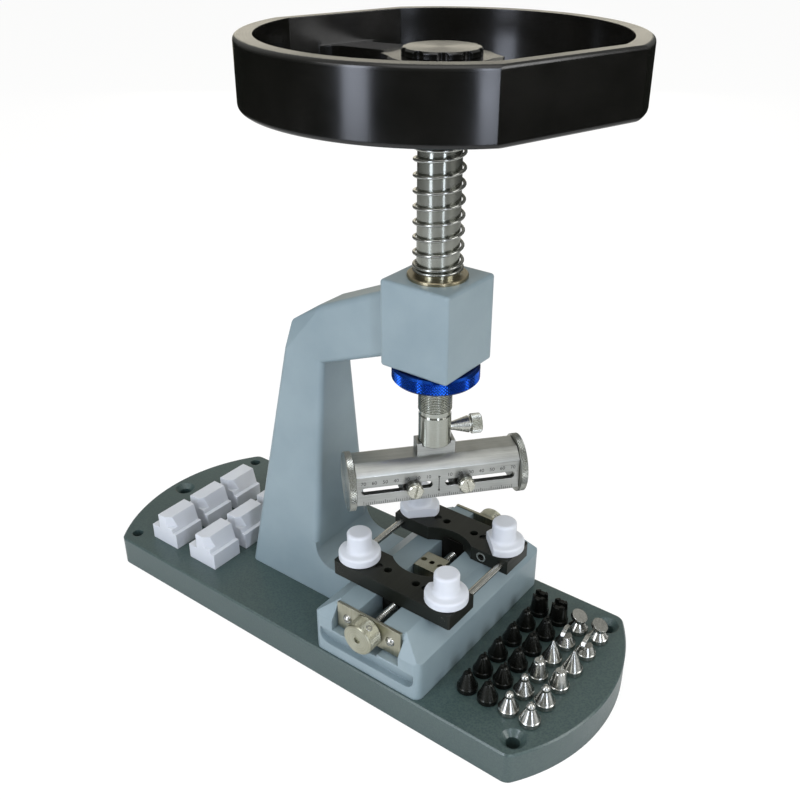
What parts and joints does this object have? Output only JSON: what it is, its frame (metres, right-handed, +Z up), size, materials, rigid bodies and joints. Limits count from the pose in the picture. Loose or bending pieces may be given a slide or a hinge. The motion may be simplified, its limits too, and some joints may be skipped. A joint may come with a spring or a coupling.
{
  "type": "bench watch case opener",
  "caption": "Bench press for unscrewing watch case backs: cast C-frame, self-centring vise, sprung spindle with handwheel, adjustable die chuck, spare tips and blocks.",
  "frame": {"origin": "middle of the base plate's underside", "axes": "+Z up along the spindle; -Y towards the front edge with the rows of tips; +Y towards the column and the case blocks; -X the side of the longer knob"},
  "size_m": [0.154, 0.292, 0.2947],
  "materials": {
    "base_paint": "dark grey-green hammertone enamel",
    "frame_paint": "satin light blue-grey enamel",
    "bronze": "turned bearing bronze",
    "brass": "milled brass",
    "nickel": "satin nickel plate",
    "bright_steel": "ground bright steel",
    "dark_steel": "blackened steel",
    "spring_steel": "drawn spring wire",
    "spindle_steel": "turned stainless steel",
    "chuck_steel": "brushed stainless steel",
    "die_steel": "milled steel",
    "tip_steel": "polished tool steel",
    "black_steel": "black oxide steel",
    "black_anodised": "black anodised, machined",
    "wheel_black": "gloss black anodised",
    "blue_anodised": "royal blue anodised, knurled",
    "white_nylon": "turned and milled white nylon"
  },
  "bodies": {
    "root": {"base_plate": "base_paint", "frame_casting": "frame_paint", "frame_screws": "dark_steel", "spindle_bush": "bronze", "near_bearing_plate": "nickel", "far_bearing_plate": "nickel", "plate_screws": "bright_steel", "centre_block": "nickel", "centre_block_screws": "bright_steel", "front_case_blocks": "white_nylon", "rear_case_blocks": "white_nylon", "black_tips_rear": "black_steel", "black_tips_front": "black_steel", "steel_tips_rear": "tip_steel", "steel_tips_front": "tip_steel"},
    "spring": {"return_spring": "spring_steel"},
    "spindle": {"spindle": "spindle_steel", "handwheel": "wheel_black", "wheel_pin": "dark_steel", "cap_nut": "wheel_black", "chuck_saddle": "chuck_steel", "saddle_screws": "dark_steel", "chuck_body": "chuck_steel"},
    "stop_ring": {"stop_ring": "blue_anodised"},
    "thumb_screw": {"thumb_screw": "nickel"},
    "chuck_screw": {"chuck_screw": "bright_steel", "left_end_disc": "chuck_steel", "right_end_disc": "chuck_steel"},
    "left_die": {"left_die": "die_steel", "left_lock_collar": "dark_steel"},
    "right_die": {"right_die": "die_steel", "right_lock_collar": "dark_steel"},
    "left_lock_screw": {"left_lock_screw": "nickel"},
    "right_lock_screw": {"right_lock_screw": "nickel"},
    "lead_screw": {"lead_screw": "bright_steel", "near_knob": "nickel", "far_knob": "nickel", "knob_grub_screws": "dark_steel"},
    "near_jaw": {"near_jaw": "black_anodised", "near_jaw_nut": "brass", "near_nut_screws": "dark_steel", "near_pegs": "white_nylon", "guide_rods": "bright_steel", "near_jaw_bush": "bright_steel"},
    "far_jaw": {"far_jaw": "black_anodised", "far_jaw_nut": "brass", "far_nut_screws": "dark_steel", "far_pegs": "white_nylon", "far_jaw_bush": "bright_steel"}
  },
  "joints": [
    {"name": "spindle_turn", "type": "hinge", "parent": "root", "child": "spring", "pos_m": [0, -0.048, 0.1997], "axis": [0, 0, 1], "continuous": true},
    {"name": "spindle_press", "type": "slide", "parent": "spring", "child": "spindle", "axis": [0, 0, -1], "range_m": [0, 0.016], "stiffness_N_per_m": 1330, "springref_m": -0.012, "deforming": ["return_spring"]},
    {"name": "stop_ring_turn", "type": "hinge", "parent": "spindle", "child": "stop_ring", "pos_m": [0, -0.048, 0.1545], "axis": [0, 0, 1], "continuous": true},
    {"name": "thumb_screw_turn", "type": "hinge", "parent": "spindle", "child": "thumb_screw", "pos_m": [0, -0.048, 0.125], "axis": [-0.757, 0.6534, 0], "range_deg": [0, 180]},
    {"name": "chuck_screw_turn", "type": "hinge", "parent": "spindle", "child": "chuck_screw", "pos_m": [0, -0.048, 0.1013], "axis": [0.757, -0.6534, 0], "range_deg": [-2520.1, 6840.1]},
    {"name": "left_die_slide", "type": "slide", "parent": "spindle", "child": "left_die", "axis": [-0.757, 0.6534, 0], "range_m": [-0.007, 0.019]},
    {"name": "right_die_slide", "type": "slide", "parent": "spindle", "child": "right_die", "axis": [0.757, -0.6534, 0], "range_m": [-0.007, 0.019]},
    {"name": "left_lock_turn", "type": "hinge", "parent": "left_die", "child": "left_lock_screw", "pos_m": [-0.00908, -0.04016, 0.1013], "axis": [-0.6534, -0.757, 0], "range_deg": [0, 180]},
    {"name": "right_lock_turn", "type": "hinge", "parent": "right_die", "child": "right_lock_screw", "pos_m": [0.00908, -0.05584, 0.1013], "axis": [-0.6534, -0.757, 0], "range_deg": [0, 180]},
    {"name": "lead_screw_turn", "type": "hinge", "parent": "root", "child": "lead_screw", "pos_m": [0, -0.048, 0.0402], "axis": [-1, 0, 0], "range_deg": [-2520.1, 2700.1]},
    {"name": "near_jaw_slide", "type": "slide", "parent": "root", "child": "near_jaw", "axis": [-1, 0, 0], "range_m": [-0.007, 0.0075]},
    {"name": "far_jaw_slide", "type": "slide", "parent": "root", "child": "far_jaw", "axis": [1, 0, 0], "range_m": [-0.007, 0.0075]}
  ],
  "couplings": [
    {"joint": "chuck_screw_turn", "follows": "left_die_slide", "rad_per_m": 6283.2},
    {"joint": "right_die_slide", "follows": "left_die_slide", "ratio": 1},
    {"joint": "lead_screw_turn", "follows": "near_jaw_slide", "rad_per_m": 6283.2},
    {"joint": "far_jaw_slide", "follows": "near_jaw_slide", "ratio": 1}
  ]
}
